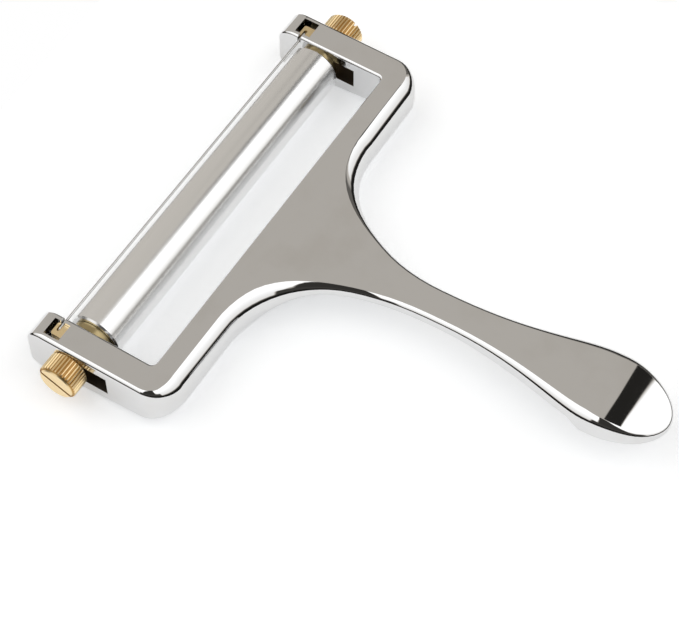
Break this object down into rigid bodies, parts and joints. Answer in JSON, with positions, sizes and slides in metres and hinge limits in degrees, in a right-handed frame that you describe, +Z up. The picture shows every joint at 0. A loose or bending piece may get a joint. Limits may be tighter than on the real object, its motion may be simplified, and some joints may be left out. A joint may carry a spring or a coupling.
{
  "type": "cheese slicer",
  "caption": "Hand-held wire cheese slicer: T-shaped plated handle and forked head, with a free-turning roller on thumbscrews that sets the slice thickness behind the wire.",
  "frame": {"origin": "bottom centre of the bounding box, midway along the length, at the height of the prongs' lowest point", "axes": "+Y from the handle's tip to the prong tips, +X along the roller to the right prong, +Z up out of the head's flat top face"},
  "size_m": [0.1174, 0.1282, 0.0142],
  "materials": {
    "plated_casting": "bright plated die casting",
    "polished_aluminium": "drawn and polished tube",
    "brass": "turned and bright",
    "steel": "drawn stainless steel"
  },
  "bodies": {
    "head": {"frame": "plated_casting", "cutting_wire": "steel", "left_wire_anchor": "brass", "right_wire_anchor": "brass", "left_wire_stop": "steel", "right_wire_stop": "steel"},
    "carriage": {"axle_rod": "steel", "left_bush": "brass", "right_bush": "brass"},
    "roller_body": {"roller": "polished_aluminium"},
    "left_screw": {"left_thumbscrew": "brass"},
    "right_screw": {"right_thumbscrew": "brass"}
  },
  "joints": [
    {"name": "roller_travel", "type": "slide", "parent": "head", "child": "carriage", "axis": [0, 1, 0], "range_m": [-0.007, 0]},
    {"name": "roller_spin", "type": "hinge", "parent": "carriage", "child": "roller_body", "pos_m": [0, 0.0524, 0.0075], "axis": [1, 0, 0], "continuous": true},
    {"name": "left_screw_turn", "type": "hinge", "parent": "carriage", "child": "left_screw", "pos_m": [-0.05, 0.0524, 0.0075], "axis": [-1, 0, 0], "range_deg": [0, 360]},
    {"name": "right_screw_turn", "type": "hinge", "parent": "carriage", "child": "right_screw", "pos_m": [0.05, 0.0524, 0.0075], "axis": [1, 0, 0], "range_deg": [0, 360]}
  ]
}
